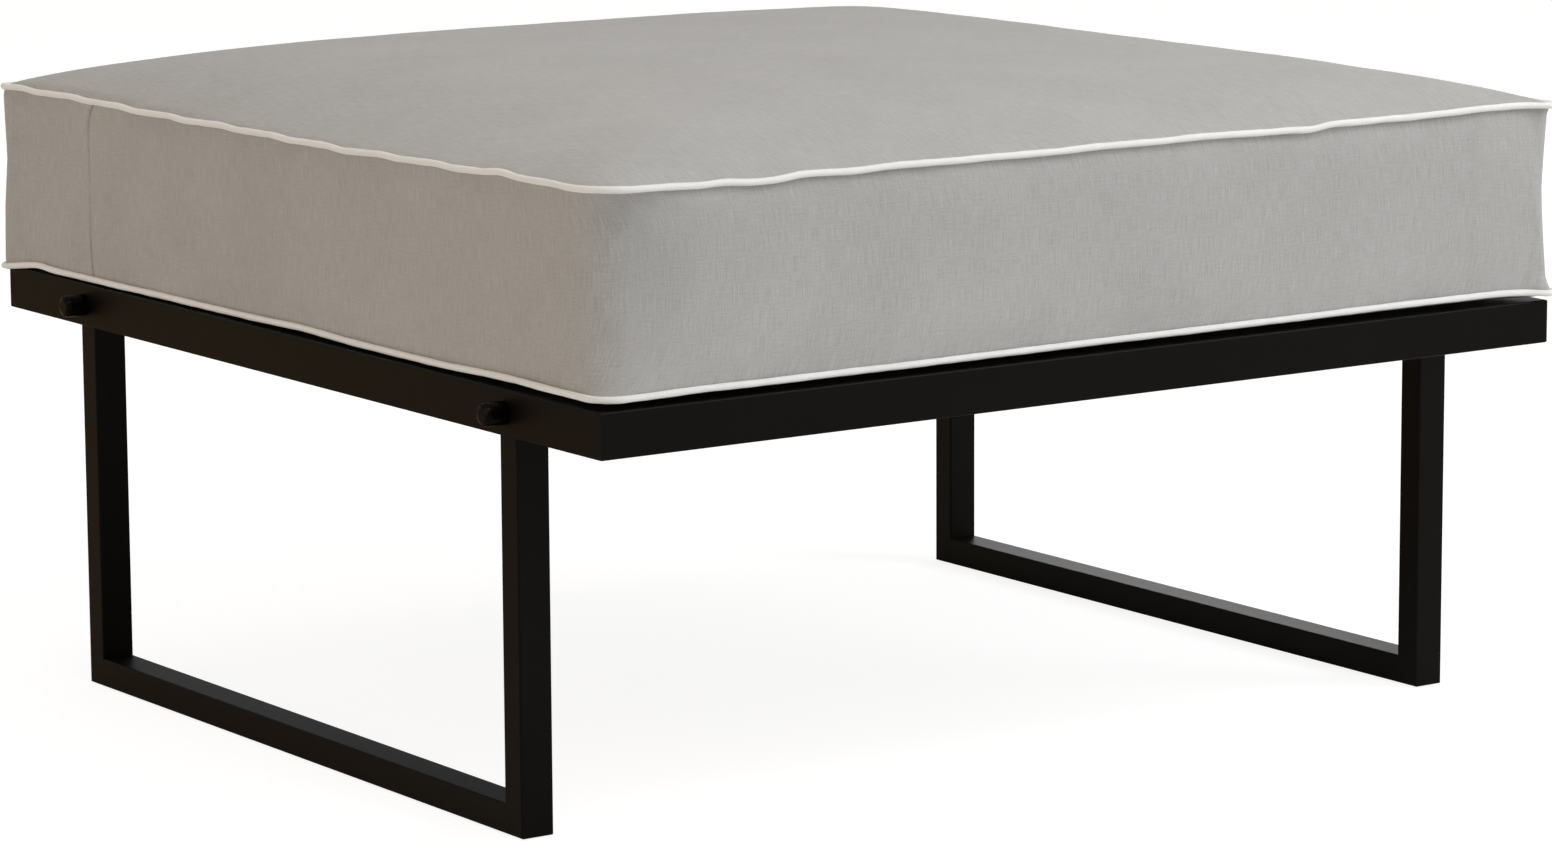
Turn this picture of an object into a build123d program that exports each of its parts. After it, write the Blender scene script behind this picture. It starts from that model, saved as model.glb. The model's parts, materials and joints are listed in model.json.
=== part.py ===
from build123d import *
import math
import os

# An outdoor ottoman: a loose box cushion with piped edges on a welded frame of aluminium tube.
# Millimetres. X runs along the front to the right, Y to the back, Z up from the floor.
# The origin is on the floor, under the middle of the whole outline, pegs included.

# Top frame
frame_width = 780
frame_depth = 780
frame_height = 290
rail_side = 30
rail_wall = 2
tube_edge_radius = 1.2

# Slats under the cushion, and the stiffener under the slats
slat_count = 7
slat_width = 50
slat_height = 12
slat_drop = 1
deck_tube_wall = 1.5
stiffener_width = 30
stiffener_height = 15

# Sled legs
leg_tube_width = 24
upright_depth = 20
runner_height = 20
leg_wall = 2
leg_set_in = 101.5

# A weep hole in the underside of each rail and runner
weep_hole_diameter = 5

# Push-in glides under the runners
glide_diameter = 16
glide_proud = 1
glide_hole_diameter = 8.2
glide_stem_width = 7.8
glide_stem_thickness = 2
glide_stem_length = 11
glide_barb_swell = 0.6
glide_clearance = 0.1
glide_inset = 40

# Pegs on the left rail, and the rivet nuts that hold them
peg_diameter = 15.5
peg_projection = 16.5
peg_edge_steps = ((0, 3), (0.85, 0.9), (3, 0))
peg_thread_diameter = 8
peg_thread_length = 13
thread_clearance = 0.05
nut_flange_diameter = 12
nut_flange_thickness = 0.6
nut_body_diameter = 11
nut_length = 16
nut_clearance = 0.05

# Bushes in the right rail for the pegs of the next seat
socket_clearance = 0.25
socket_depth = 18.5
socket_lead_in = 1
socket_wall = 1.5
socket_floor = 1.4
socket_flange_diameter = 23
socket_flange_thickness = 1.2
socket_fit = 0.05

# Cushion
cushion_set_in = 2
boxing_height = 130
base_rise = 6.4
base_run = 34
shoulder_rise = 13
shoulder_run = 46
crown_rise = 26
base_levels = 3
shoulder_levels = 4
corner_radius = 20
shoulder_corner_radius = 32
side_draw_in = 5
side_bow = 3
cushion_rest_gap = 0.3
cover_thickness = 1.2
lining_gap = 0.5
foam_height = 118
wrap_thickness = 12
wrap_fit = 0.2
seam_gap = 0.2
welt_diameter = 4.4
welt_sides = 6
welt_offset = 1.2
boxing_seam_from_back = 120

# Zip along the back, with a coil on each tape
zip_end_margin = 68
zip_slot = 14
tape_thickness = 0.6
tape_reach = 16
tape_gap = 0.05
tape_overrun = 7
coil_width = 4
coil_thickness = 3
coil_gap = 1.4
stop_length = 3
stop_thickness = 4.4

# Zip slider and pull
slider_length = 16
slider_wall = 1.2
slider_clearance = 0.3
slider_corner = 2.5
slider_post_length = 5
bail_length = 8
bail_width = 2.4
bail_leg = 1.4
bail_top = 1.2
pull_bar_diameter = 1.6
pull_bar_clearance = 0.3
pull_eye_clearance = 0.4
pull_eye_wall = 1.4
pull_eye_reach = 5.2
pull_length = 30
pull_width = 7.5
pull_cord_hole = 3

# Places worked out from the sizes
centre_x = peg_projection / 2
left_x = centre_x - frame_width / 2
right_x = centre_x + frame_width / 2
rail_bottom = frame_height - rail_side
rail_middle = frame_height - rail_side / 2
leg_frame_length = frame_depth - 2 * leg_set_in
upright_y = leg_frame_length / 2 - upright_depth / 2
left_leg_x = left_x + rail_side / 2
right_leg_x = right_x - rail_side / 2
slat_top = frame_height - slat_drop
slat_length = frame_width - 2 * rail_side
cushion_width = frame_width - 2 * cushion_set_in
cushion_depth = frame_depth - 2 * cushion_set_in
cushion_base = frame_height + cushion_rest_gap
bottom_welt_height = cushion_base + base_rise
top_welt_height = bottom_welt_height + boxing_height
middle_height = (bottom_welt_height + top_welt_height) / 2
welt_radius = welt_diameter / 2
welt_half_cover = math.sqrt(welt_radius**2 - welt_offset**2) + 0.05
back_y = cushion_depth / 2 - side_bow
tape_front = back_y - cover_thickness - tape_gap
tape_middle = tape_front - tape_thickness / 2
zip_length = cushion_width - 2 * zip_end_margin
coil_top = coil_gap / 2 + coil_width
slider_inner_half = coil_top + slider_clearance
slider_half_width = slider_inner_half + slider_wall
channel_half = coil_thickness / 2 + slider_clearance
slider_face = tape_middle + channel_half + slider_wall
slider_x = centre_x + zip_length / 2 - stop_length - slider_clearance - slider_length / 2
slider_travel = zip_length - 2 * (stop_length + slider_clearance) - slider_length
pull_axis_y = slider_face + pull_bar_clearance + pull_bar_diameter / 2
far = 2 * (frame_width + frame_depth)

os.makedirs("parts", exist_ok=True)


def save(name, shape):
    export_step(shape, "parts/" + name + ".step")


def slab(low, high):
    """A box between two corners."""
    size = [b - a for a, b in zip(low, high)]
    return Pos(*low) * Box(*size, align=(Align.MIN, Align.MIN, Align.MIN))


def tube(plane, width, height, wall, length, edge_radius=0):
    """A tube square to a plane and centred on its origin, with its outer edges rounded where they show."""
    outer = RectangleRounded(width, height, edge_radius) if edge_radius else Rectangle(width, height)
    section = outer - Rectangle(width - 2 * wall, height - 2 * wall)
    return extrude(plane * section, length / 2, both=True)


def turned(profile, place):
    """A profile given as radius and height, turned about its axis and put in its place."""
    face = make_face(Plane.XZ * Polyline(*profile, close=True))
    return place * revolve(face, Axis.Z)


# Frame


def mitred_rail(length):
    """One rail of the top frame, along X, with its outer face on Y = 0 and its ends cut at 45 degrees."""
    bar = tube(Plane.YZ, rail_side, rail_side, rail_wall, length, tube_edge_radius)
    outline = Polyline(
        (-length / 2, 0),
        (length / 2, 0),
        (length / 2 - rail_side, rail_side),
        (-length / 2 + rail_side, rail_side),
        close=True,
    )
    rail = Pos(0, rail_side / 2, rail_middle) * bar & extrude(make_face(outline), frame_height)
    weep_hole = Cylinder(weep_hole_diameter / 2, rail_side)
    return rail - Pos(0, rail_side / 2, rail_bottom) * weep_hole


def top_frame():
    front = Pos(centre_x, -frame_depth / 2, 0) * mitred_rail(frame_width)
    back = Pos(centre_x, frame_depth / 2, 0) * Rot(0, 0, 180) * mitred_rail(frame_width)
    left = Pos(left_x, 0, 0) * Rot(0, 0, -90) * mitred_rail(frame_depth)
    right = Pos(right_x, 0, 0) * Rot(0, 0, 90) * mitred_rail(frame_depth)
    nut_hole = nut_body_diameter + 2 * nut_clearance
    socket_hole = socket_outer_diameter() + 2 * socket_fit
    for y in (-upright_y, upright_y):
        left -= Pos(left_x, y, rail_middle) * Rot(0, 90, 0) * Cylinder(nut_hole / 2, rail_side)
        right -= Pos(right_x, y, rail_middle) * Rot(0, 90, 0) * Cylinder(socket_hole / 2, rail_side)
    save("front_rail", front)
    save("back_rail", back)
    save("left_rail", left)
    save("right_rail", right)


def deck():
    pitch = (frame_depth - 2 * rail_side) / slat_count
    for number in range(slat_count):
        y = (number + 0.5 - slat_count / 2) * pitch
        place = Pos(centre_x, y, slat_top - slat_height / 2)
        slat = tube(Plane.YZ, slat_width, slat_height, deck_tube_wall, slat_length)
        save("seat_slat_" + str(number + 1), place * slat)
    length = frame_depth - 2 * rail_side
    place = Pos(centre_x, 0, slat_top - slat_height - stiffener_height / 2)
    save("deck_stiffener", place * tube(Plane.XZ, stiffener_width, stiffener_height, deck_tube_wall, length))


def leg_prism(points):
    """A solid across a leg's width, from an outline of Y and Z points."""
    return extrude(Plane.YZ * make_face(Polyline(*points, close=True)), leg_tube_width, both=True)


def leg_frame(side, leg_x):
    """One sled leg: two uprights and a runner of one tube, mitred where they meet."""
    outer = leg_frame_length / 2
    inner = outer - upright_depth
    low = glide_proud
    elbow = low + runner_height
    tall = rail_bottom - low
    upright = tube(Plane.XY, leg_tube_width, upright_depth, leg_wall, tall, tube_edge_radius)
    upright = Pos(0, upright_y, low + tall / 2) * upright
    upright &= leg_prism([(outer, low), (outer, rail_bottom), (inner, rail_bottom), (inner, elbow)])
    runner = tube(Plane.XZ, leg_tube_width, runner_height, leg_wall, leg_frame_length, tube_edge_radius)
    runner = Pos(0, 0, low + runner_height / 2) * runner
    runner &= leg_prism([(-outer, low), (outer, low), (inner, elbow), (-inner, elbow)])
    runner -= Pos(0, 0, low) * Cylinder(weep_hole_diameter / 2, 2 * leg_wall + 1)
    for end in (-1, 1):
        glide_spot = Pos(0, end * (outer - glide_inset), low)
        runner -= glide_spot * Cylinder(glide_hole_diameter / 2, 2 * leg_wall + 1)
    save(side + "_back_upright", Pos(leg_x, 0, 0) * upright)
    save(side + "_front_upright", Pos(leg_x, 0, 0) * Rot(0, 0, 180) * upright)
    save(side + "_runner", Pos(leg_x, 0, 0) * runner)


def glide(place):
    """A low nylon foot with a cross-shaped, barbed stem that snaps through the runner's wall."""
    half = glide_stem_width / 2
    barb = glide_proud + leg_wall + glide_clearance
    right = [
        (half, 0),
        (half, barb),
        (half + glide_barb_swell, barb),
        (half - glide_barb_swell, glide_stem_length),
    ]
    left = [(-x, z) for x, z in reversed(right)]
    outline = make_face(Polyline(*right, *left, close=True))
    blade = extrude(Plane.XZ * outline, glide_stem_thickness / 2, both=True)
    pad = Cylinder(glide_diameter / 2, glide_proud, align=(Align.CENTER, Align.CENTER, Align.MIN))
    return place * (pad + blade + Rot(0, 0, 90) * blade)


def glides():
    for side, x in (("left", left_leg_x), ("right", right_leg_x)):
        for end, way in (("front", -1), ("back", 1)):
            place = Pos(x, way * (leg_frame_length / 2 - glide_inset), 0)
            save("glide_" + side + "_" + end, glide(place))


def peg(place):
    """A round peg with a softened end and a threaded shank, standing out along its axis."""
    shoulder = nut_flange_thickness
    thread = peg_thread_diameter / 2
    radius = peg_diameter / 2
    edge = [(radius - inward, peg_projection - down) for inward, down in peg_edge_steps]
    shank = [(0, shoulder - peg_thread_length), (thread, shoulder - peg_thread_length), (thread, shoulder)]
    return turned(shank + [(radius, shoulder)] + edge + [(0, peg_projection)], place)


def rivet_nut(place):
    """A rivet nut in the rail's wall, with its flange outside; its crimp isn't modelled."""
    bore = peg_thread_diameter / 2 + thread_clearance
    body = nut_body_diameter / 2
    return turned(
        [
            (bore, nut_flange_thickness),
            (nut_flange_diameter / 2, nut_flange_thickness),
            (nut_flange_diameter / 2, 0),
            (body, 0),
            (body, nut_flange_thickness - nut_length),
            (bore, nut_flange_thickness - nut_length),
        ],
        place,
    )


def socket_outer_diameter():
    return peg_diameter + 2 * socket_clearance + 2 * socket_wall


def socket(place):
    """A blind flanged bush that takes the next seat's peg."""
    bore = peg_diameter / 2 + socket_clearance
    body = socket_outer_diameter() / 2
    mouth = socket_flange_thickness
    return turned(
        [
            (0, mouth - socket_depth),
            (bore, mouth - socket_depth),
            (bore, mouth - socket_lead_in),
            (bore + socket_lead_in, mouth),
            (socket_flange_diameter / 2, mouth),
            (socket_flange_diameter / 2, 0),
            (body, 0),
            (body, mouth - socket_depth - socket_floor),
            (0, mouth - socket_depth - socket_floor),
        ],
        place,
    )


def connectors():
    nuts = []
    for end, y in (("front", -upright_y), ("back", upright_y)):
        outward_left = Pos(left_x, y, rail_middle) * Rot(0, -90, 0)
        outward_right = Pos(right_x, y, rail_middle) * Rot(0, 90, 0)
        save("connector_pin_" + end, peg(outward_left))
        save("connector_socket_" + end, socket(outward_right))
        nuts.append(rivet_nut(outward_left))
    save("pin_rivet_nuts", Compound(children=nuts))


# Cushion


def cushion_outline(inset, shrink, height):
    """The cushion's plan at one height: drawn-in front and sides, rounded corners and a straight back.

    shrink is how far the level has come in from the edge on its way up the crown or under the base.
    """
    half_x = cushion_width / 2 - inset - shrink
    half_y = cushion_depth / 2 - inset - shrink
    radius = corner_radius + (shoulder_corner_radius - corner_radius) * shrink / shoulder_run
    side_tilt = 2 * math.atan(side_draw_in / (half_y - radius))
    back_reach = radius * (1 / math.cos(side_tilt) - math.tan(side_tilt))
    front = Edge.make_three_point_arc(
        Vector(-half_x + radius, -half_y, height),
        Vector(0, -half_y + side_draw_in, height),
        Vector(half_x - radius, -half_y, height),
    )
    right = Edge.make_three_point_arc(
        Vector(half_x, -half_y + radius, height),
        Vector(half_x - side_draw_in, 0, height),
        Vector(half_x, half_y - radius, height),
    )
    back = Edge.make_line(
        Vector(half_x - back_reach, half_y, height),
        Vector(-half_x + back_reach, half_y, height),
    )
    left = Edge.make_three_point_arc(
        Vector(-half_x, half_y - radius, height),
        Vector(-half_x + side_draw_in, 0, height),
        Vector(-half_x, -half_y + radius, height),
    )
    edges = []
    for side, following in ((front, right), (right, back), (back, left), (left, front)):
        edges += [side, Edge.make_tangent_arc(side @ 1, side % 1, following @ 0)]
    return Pos(centre_x, 0, 0) * Wire(edges)


def bow(height):
    """How far the sides are drawn in at a height between the two welts."""
    return side_bow * (1 - ((height - middle_height) / (boxing_height / 2)) ** 2)


def shoulder_height(shrink):
    """How far the top stands above its welt, at a distance in from the edge."""
    return shoulder_rise * math.sqrt(1 - (1 - shrink / shoulder_run) ** 2)


def base_height(shrink):
    """How far the underside stands above its lowest plane, at a distance in from the edge."""
    return base_rise * (1 - math.sqrt(1 - (1 - shrink / base_run) ** 2))


def layered(levels):
    return loft([make_face(outline) for outline in levels], ruled=True)


def eased_steps(run, count):
    """Distances in from an edge, from 0 to a run, at even turns of a quarter round."""
    return [run * (1 - math.cos(math.pi / 2 * number / count)) for number in range(count + 1)]


def dome(inset, height):
    """The crowned middle of the top, inside the shoulder: two vaults that cross at right angles."""
    rise = crown_rise - shoulder_rise
    foot = make_face(cushion_outline(inset, shoulder_run, height))
    body = extrude(foot, 2 * rise, dir=(0, 0, 1))
    for width, turn in ((cushion_width, 0), (cushion_depth, 90)):
        half = width / 2 - inset - shoulder_run
        arch = Edge.make_three_point_arc(Vector(-half, 0, 0), Vector(0, 0, rise), Vector(half, 0, 0))
        section = make_face(Wire([arch, Edge.make_line(arch @ 1, arch @ 0)]))
        vault = extrude(section, far, both=True, dir=(0, 1, 0))
        body &= Pos(centre_x, 0, height) * Rot(0, 0, turn) * vault
    return body


def cushion_body(inset, drop):
    """The whole cushion's form, or a smaller one inside it."""
    low = bottom_welt_height + drop
    high = top_welt_height - drop
    low_inset = inset + bow(low)
    high_inset = inset + bow(high)
    base = [
        cushion_outline(low_inset, step, cushion_base + drop + base_height(step))
        for step in reversed(eased_steps(base_run, base_levels))
    ]
    side = [cushion_outline(inset + bow(height), 0, height) for height in (low, middle_height, high)]
    shoulder = [
        cushion_outline(high_inset, step, high + shoulder_height(step))
        for step in eased_steps(shoulder_run, shoulder_levels)
    ]
    return layered(base) + layered(side) + layered(shoulder) + dome(high_inset, high + shoulder_rise)


def between(low_z, high_z):
    return slab((-far, -far, low_z), (far, far, high_z))


def cover():
    shell = cushion_body(0, 0) - cushion_body(cover_thickness, cover_thickness)
    above = top_welt_height + welt_half_cover
    below = bottom_welt_height - welt_half_cover
    save("top_panel", shell & between(above, far))
    save("bottom_panel", shell & between(0, below))
    band = shell & between(bottom_welt_height + welt_half_cover, top_welt_height - welt_half_cover)
    seam_y = cushion_depth / 2 - boxing_seam_from_back
    save("boxing_band", band & slab((-far, -far, 0), (far, seam_y - seam_gap / 2, far)))
    rear = band & slab((-far, seam_y + seam_gap / 2, 0), (far, far, far))
    end_x = zip_length / 2 + seam_gap
    save("zip_end_left", rear & slab((-far, 0, 0), (centre_x - end_x, far, far)))
    save("zip_end_right", rear & slab((centre_x + end_x, 0, 0), (far, far, far)))
    strip = zip_length / 2
    upper = slab((centre_x - strip, 0, middle_height + zip_slot / 2), (centre_x + strip, far, far))
    lower = slab((centre_x - strip, 0, 0), (centre_x + strip, far, middle_height - zip_slot / 2))
    save("zip_band_upper", rear & upper)
    save("zip_band_lower", rear & lower)


def foam_block(margin):
    """The foam, a plain block, or the hole for it in the wrap."""
    lining = cover_thickness + lining_gap
    inset = lining + side_bow + side_draw_in + wrap_thickness
    width = cushion_width - 2 * inset + 2 * margin
    depth = cushion_depth - 2 * inset + 2 * margin
    bottom = cushion_base + lining + wrap_thickness
    return Pos(centre_x, 0, bottom + foam_height / 2) * Box(width, depth, foam_height + 2 * margin)


def filling():
    lining = cover_thickness + lining_gap
    wrap = cushion_body(lining, lining) - foam_block(wrap_fit)
    pocket_x = zip_length / 2 + tape_overrun + slider_clearance
    pocket_half = tape_reach + slider_clearance
    pocket_front = tape_middle - channel_half - slider_wall - slider_clearance
    wrap -= slab(
        (centre_x - pocket_x, pocket_front, middle_height - pocket_half),
        (centre_x + pocket_x, far, middle_height + pocket_half),
    )
    save("foam_core", foam_block(0))
    save("fibre_wrap", wrap)


def welt(height):
    """The piping round one edge, a cord that follows the seam just outside it."""
    path = cushion_outline(-welt_offset, 0, height)
    start = path.edges()[0]
    section = Plane(origin=start @ 0, z_dir=start % 0) * RegularPolygon(welt_radius, welt_sides)
    return sweep(section, path=path)


def stringer(way):
    """A zip tape with the coil along its edge and a stop at each end of the coil."""

    def strip(x_low, x_high, thickness, z_near, z_far):
        z_low, z_high = sorted((way * z_near, way * z_far))
        return slab((x_low, -thickness / 2, z_low), (x_high, thickness / 2, z_high))

    half = zip_length / 2
    near = coil_gap / 2
    piece = strip(-half - tape_overrun, half + tape_overrun, tape_thickness, near + coil_width / 2, tape_reach)
    piece += strip(-half, half, coil_thickness, near, coil_top)
    piece += strip(-half, stop_length - half, stop_thickness, near, coil_top)
    piece += strip(half - stop_length, half, stop_thickness, near, coil_top)
    return Pos(centre_x, tape_middle, middle_height) * piece


def slider():
    """The zip's slider: two plates round the coils, a post between them, and the bail for the pull."""
    thickness = 2 * (channel_half + slider_wall)
    plan = RectangleRounded(slider_length, 2 * slider_half_width, slider_corner)
    body = extrude(Plane.XZ * plan, thickness / 2, both=True)
    body -= Box(2 * slider_length, 2 * channel_half, 2 * slider_inner_half)
    body -= Box(2 * slider_length, tape_thickness + 2 * slider_clearance, 4 * slider_half_width)
    post = Box(slider_post_length, 2 * channel_half + slider_wall, coil_gap - 2 * slider_clearance)
    opening = pull_bar_diameter + 2 * pull_bar_clearance
    arch = Box(bail_length, 2 * (opening + bail_top), bail_width)
    arch = fillet(arch.edges().filter_by(Axis.Z), bail_top)
    arch -= Box(bail_length - 2 * bail_leg, 2 * opening, 2 * bail_width)
    arch &= slab((-far, -slider_wall / 2, -far), (far, far, far))
    body += post
    body += Pos(0, thickness / 2, 0) * arch
    return Pos(slider_x, tape_middle, middle_height) * body


def pull():
    """The zip's pull, lying flat along the coils, with its bar under the slider's bail."""
    eye_half = bail_width / 2 + pull_eye_clearance
    eye_outer = eye_half + pull_eye_wall
    bar_radius = pull_bar_diameter / 2
    plate = slab((-pull_eye_reach - pull_eye_wall, -bar_radius, -eye_outer), (0, bar_radius, eye_outer))
    plate += Cylinder(bar_radius, 2 * eye_outer)
    plate -= slab((-pull_eye_reach, -pull_width, -eye_half), (-bar_radius, pull_width, eye_half))
    tab_length = pull_length - pull_eye_reach
    tab = RectangleRounded(tab_length, pull_width, pull_width / 3)
    tab = extrude(Plane.XZ * tab, bar_radius, both=True)
    tab_x = -pull_eye_reach - tab_length / 2
    hole_x = -pull_length + pull_width / 2
    body = plate + Pos(tab_x, 0, 0) * tab
    body -= Pos(hole_x, 0, 0) * Rot(90, 0, 0) * Cylinder(pull_cord_hole / 2, pull_width)
    return Pos(slider_x, pull_axis_y, middle_height) * body


def cushion():
    cover()
    filling()
    save("top_welt", welt(top_welt_height))
    save("bottom_welt", welt(bottom_welt_height))
    save("zip_stringer_upper", stringer(1))
    save("zip_stringer_lower", stringer(-1))
    save("zip_slider", slider())
    save("zip_pull", pull())


top_frame()
deck()
leg_frame("left", left_leg_x)
leg_frame("right", right_leg_x)
glides()
connectors()
cushion()
print("slider x", round(slider_x, 3), "travel", round(slider_travel, 3))
print("pull axis y", round(pull_axis_y, 3), "z", round(middle_height, 3))
print("OK")
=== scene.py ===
import json
import math

import bpy
import numpy as np
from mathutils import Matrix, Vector


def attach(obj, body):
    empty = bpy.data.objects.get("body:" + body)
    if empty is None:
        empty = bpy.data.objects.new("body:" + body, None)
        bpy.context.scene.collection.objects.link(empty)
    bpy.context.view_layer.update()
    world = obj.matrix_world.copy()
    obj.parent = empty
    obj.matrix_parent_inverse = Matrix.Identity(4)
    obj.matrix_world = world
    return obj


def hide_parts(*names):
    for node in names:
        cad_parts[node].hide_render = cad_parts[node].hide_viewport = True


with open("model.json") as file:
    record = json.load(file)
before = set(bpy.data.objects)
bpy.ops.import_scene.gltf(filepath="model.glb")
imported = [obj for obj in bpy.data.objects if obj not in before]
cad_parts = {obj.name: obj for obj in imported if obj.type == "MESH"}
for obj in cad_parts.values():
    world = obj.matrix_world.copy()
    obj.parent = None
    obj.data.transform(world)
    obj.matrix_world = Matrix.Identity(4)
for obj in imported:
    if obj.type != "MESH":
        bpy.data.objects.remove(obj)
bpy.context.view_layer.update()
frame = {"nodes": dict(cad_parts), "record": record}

# Looks of the outdoor ottoman. Lengths named here are in millimetres, and MM turns them into metres.
# A share of the band's height runs from -1 at the bottom welt to 1 at the top one.
MM = 0.001

# Cushion
HALF = 388.0
CENTRE_X = 8.25
BOTTOM_WELT_Z = 296.7
TOP_WELT_Z = 426.7
MIDDLE_Z = (BOTTOM_WELT_Z + TOP_WELT_Z) / 2
HALF_BAND = (TOP_WELT_Z - BOTTOM_WELT_Z) / 2
BASE_Z = 290.5
BASE_RUN = 34.0
TOP_EDGE_Z = 424.2

# Crown: its height, how late and how gently it falls off, and how sharp its ridge to each corner is.
# The ridges are rows of the corner's side along x and along y, and the sharpness.
CROWN = 32.0
CROWN_POWER = 2.8
CROWN_EASE = 0.76
CROWN_RIDGES = ((-1, -1, 6.5), (1, -1, 0.6), (1, 1, 3.2), (-1, 1, 0.5))

# Sides: how far they draw in between the corners, their bow between the welts, and the tuck at the welts
SIDE_DRAW_IN = 5.0
BACK_DRAW_IN = 1.0
SIDE_BOW = 3.0
BOW_EASE_RUN = 60.0
SEAM_TUCK = 0.9
TUCK_RUN = 1.6

# Near corner: how far its rounding runs at the two welts, and half-way up along the front and the left side
NEAR_CORNER_BOTTOM = 18.0
NEAR_CORNER_TOP = 25.0
NEAR_CORNER_ALONG_FRONT = 88.0
NEAR_CORNER_ALONG_LEFT = 32.0
NEAR_CORNER_POWER = 2.5

# The other corners: rows of a share of the band's height, the rounding there and how far it is drawn out
BACK_LEFT_CORNER = ((-1.0, 4.0, 7.0), (-0.4, 4.0, 6.4), (0.1, 4.0, 4.4), (0.9, 4.0, 5.0), (1.0, 4.0, 4.0))
RIGHT_CORNERS = ((-1.0, 4.0, 7.0), (-0.85, 5.0, 3.6), (-0.4, 6.0, 3.0), (0.1, 8.0, 2.8), (0.9, 7.0, 3.0),
                 (1.0, 4.0, 4.2))
EAR_WIDTH = 12.0

# Welts: each row of swell and wander is a wave's size, run and start. The heights after them are how far
# a welt stands above or below its own level, at a distance along a side. The left and right sides run
# from the front to the back, and the front and back from the left to the right. The heights of the left
# side and the front were measured on the photo, and the others are guessed to match them.
WELT_RADIUS = 2.25
WELT_OUT = 1.2
WELT_SWELL = ((0.03, 7.3, 0.0), (0.02, 3.1, 2.0))
TOP_WANDER = ((0.22, 17.0, 0.0), (0.18, 29.0, 1.3))
BOTTOM_WANDER = ((0.22, 17.0, 0.0), (0.18, 29.0, 4.1))
TOP_LEFT = (
    (0, -0.3), (37, -1.1), (60, -1.4), (85, -1.5), (98, -0.9), (109, 0.3), (118, -0.8), (133, -2.6),
    (182, -3.4), (245, -4.5), (309, -6.3), (374, -6.3), (441, -6.4), (508, -6.8), (577, -7.2),
    (662, -6.3), (719, -6.6), (776, -6.6),
)
TOP_FRONT = (
    (0, -0.3), (38, -0.9), (75, -2.6), (94, -1.6), (113, -3.3), (133, -3.8), (152, -1.3), (191, -2.4),
    (230, -1.7), (270, -2.0), (310, -2.5), (392, -2.0), (476, -1.8), (518, -2.2), (553, -3.0),
    (566, -4.0), (583, -1.0), (648, -1.4), (692, -0.3), (752, 0.2), (776, -1.2),
)
TOP_RIGHT = (
    (0, -1.2), (24, 0.0), (90, -1.7), (140, -1.3), (260, -3.2), (410, -3.9), (470, -3.3), (600, -4.6),
    (776, -5.4),
)
TOP_BACK = (
    (0, -6.6), (110, -7.2), (150, -6.6), (300, -6.9), (470, -6.4), (510, -5.7), (660, -6.1), (776, -5.4),
)
BOTTOM_LEFT = (
    (0, -0.1), (30, 0), (55, -0.2), (97, 0.3), (127, -0.3), (182, -2.0), (245, -2.5), (309, -2.4),
    (374, -1.3), (440, -2.5), (508, -2.8), (640, -3.0), (705, -3.1), (718, -2.9), (734, -1.7),
    (746, -2.6), (763, -4.9), (776, -6.4),
)
BOTTOM_FRONT = (
    (0, -0.1), (38, 0), (75, 0.5), (113, 0.1), (230, -0.3), (392, 0), (476, 0.1), (561, 0.3), (620, 0.8),
    (648, 1.1), (737, 1.0), (762, -0.2), (776, -1.6),
)
BOTTOM_RIGHT = ((0, -1.6), (30, 0.4), (160, 0.1), (300, 0.3), (450, -0.8), (620, -0.5), (776, -1.5))
BOTTOM_BACK = ((0, -6.4), (24, -3.6), (60, -2.6), (200, -2.8), (420, -1.9), (560, -2.4), (776, -1.5))

# Boxing seams: the groove and the low ridge beside it, and how far the seam bends to the front at the welts
SEAM_Y = 279.0
SEAM_REACH = 60.0
GROOVE_DEPTH = 1.3
GROOVE_MORE_AT_WELTS = 2.0
GROOVE_WIDTH = 1.2
SEAM_RIDGE = 0.4
SEAM_RIDGE_OFF = 4.5
SEAM_RIDGE_WIDTH = 3.0
SEAM_BEND_TOP = 16.0
SEAM_BEND_BOTTOM = 7.5
SEAM_BEND_WIDTH = 26.0

# Zip: its slot, and the calm cloth round it, which the pull needs past the slot's ends
ZIP_HALF = 320.0
ZIP_SLOT_HALF = 7.0
ZIP_SLOT_LIP = 0.35
ZIP_SLOT_END = 0.6
ZIP_DEPTH = 6.5
ZIP_CALM = 0.85
ZIP_CALM_RUN = 24.0
ZIP_CALM_END = 30.0
ZIP_CALM_FADE = 20.0
ZIP_PROUD = 0.2
ZIP_HELD = 4.0
PULL_ROOM = 26.0

# Soft unevenness of the cloth: how high, the shortest and longest wave, and how far in the gathers run
TOP_RIPPLE = 0.5
TOP_RIPPLE_LENGTHS = (70, 280)
TOP_RIPPLES = 7
TOP_PUCKER = 0.6
SIDE_WAVE = 0.45
SIDE_WAVE_LENGTHS = (70, 260)
SIDE_PUCKER = 0.5
PUCKER_LENGTHS = (18, 55)
PUCKER_RUN = 18.0
PUCKER_START = 4.0

# Swelling of the cover between its seams
SWELL_PRESSURE = 4.0
SWELL_MASS = 0.3
SWELL_QUALITY = 5
SWELL_FRAMES = 20
SWELL_CAP = 3.0
HELD_RUN = 10.0

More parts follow.
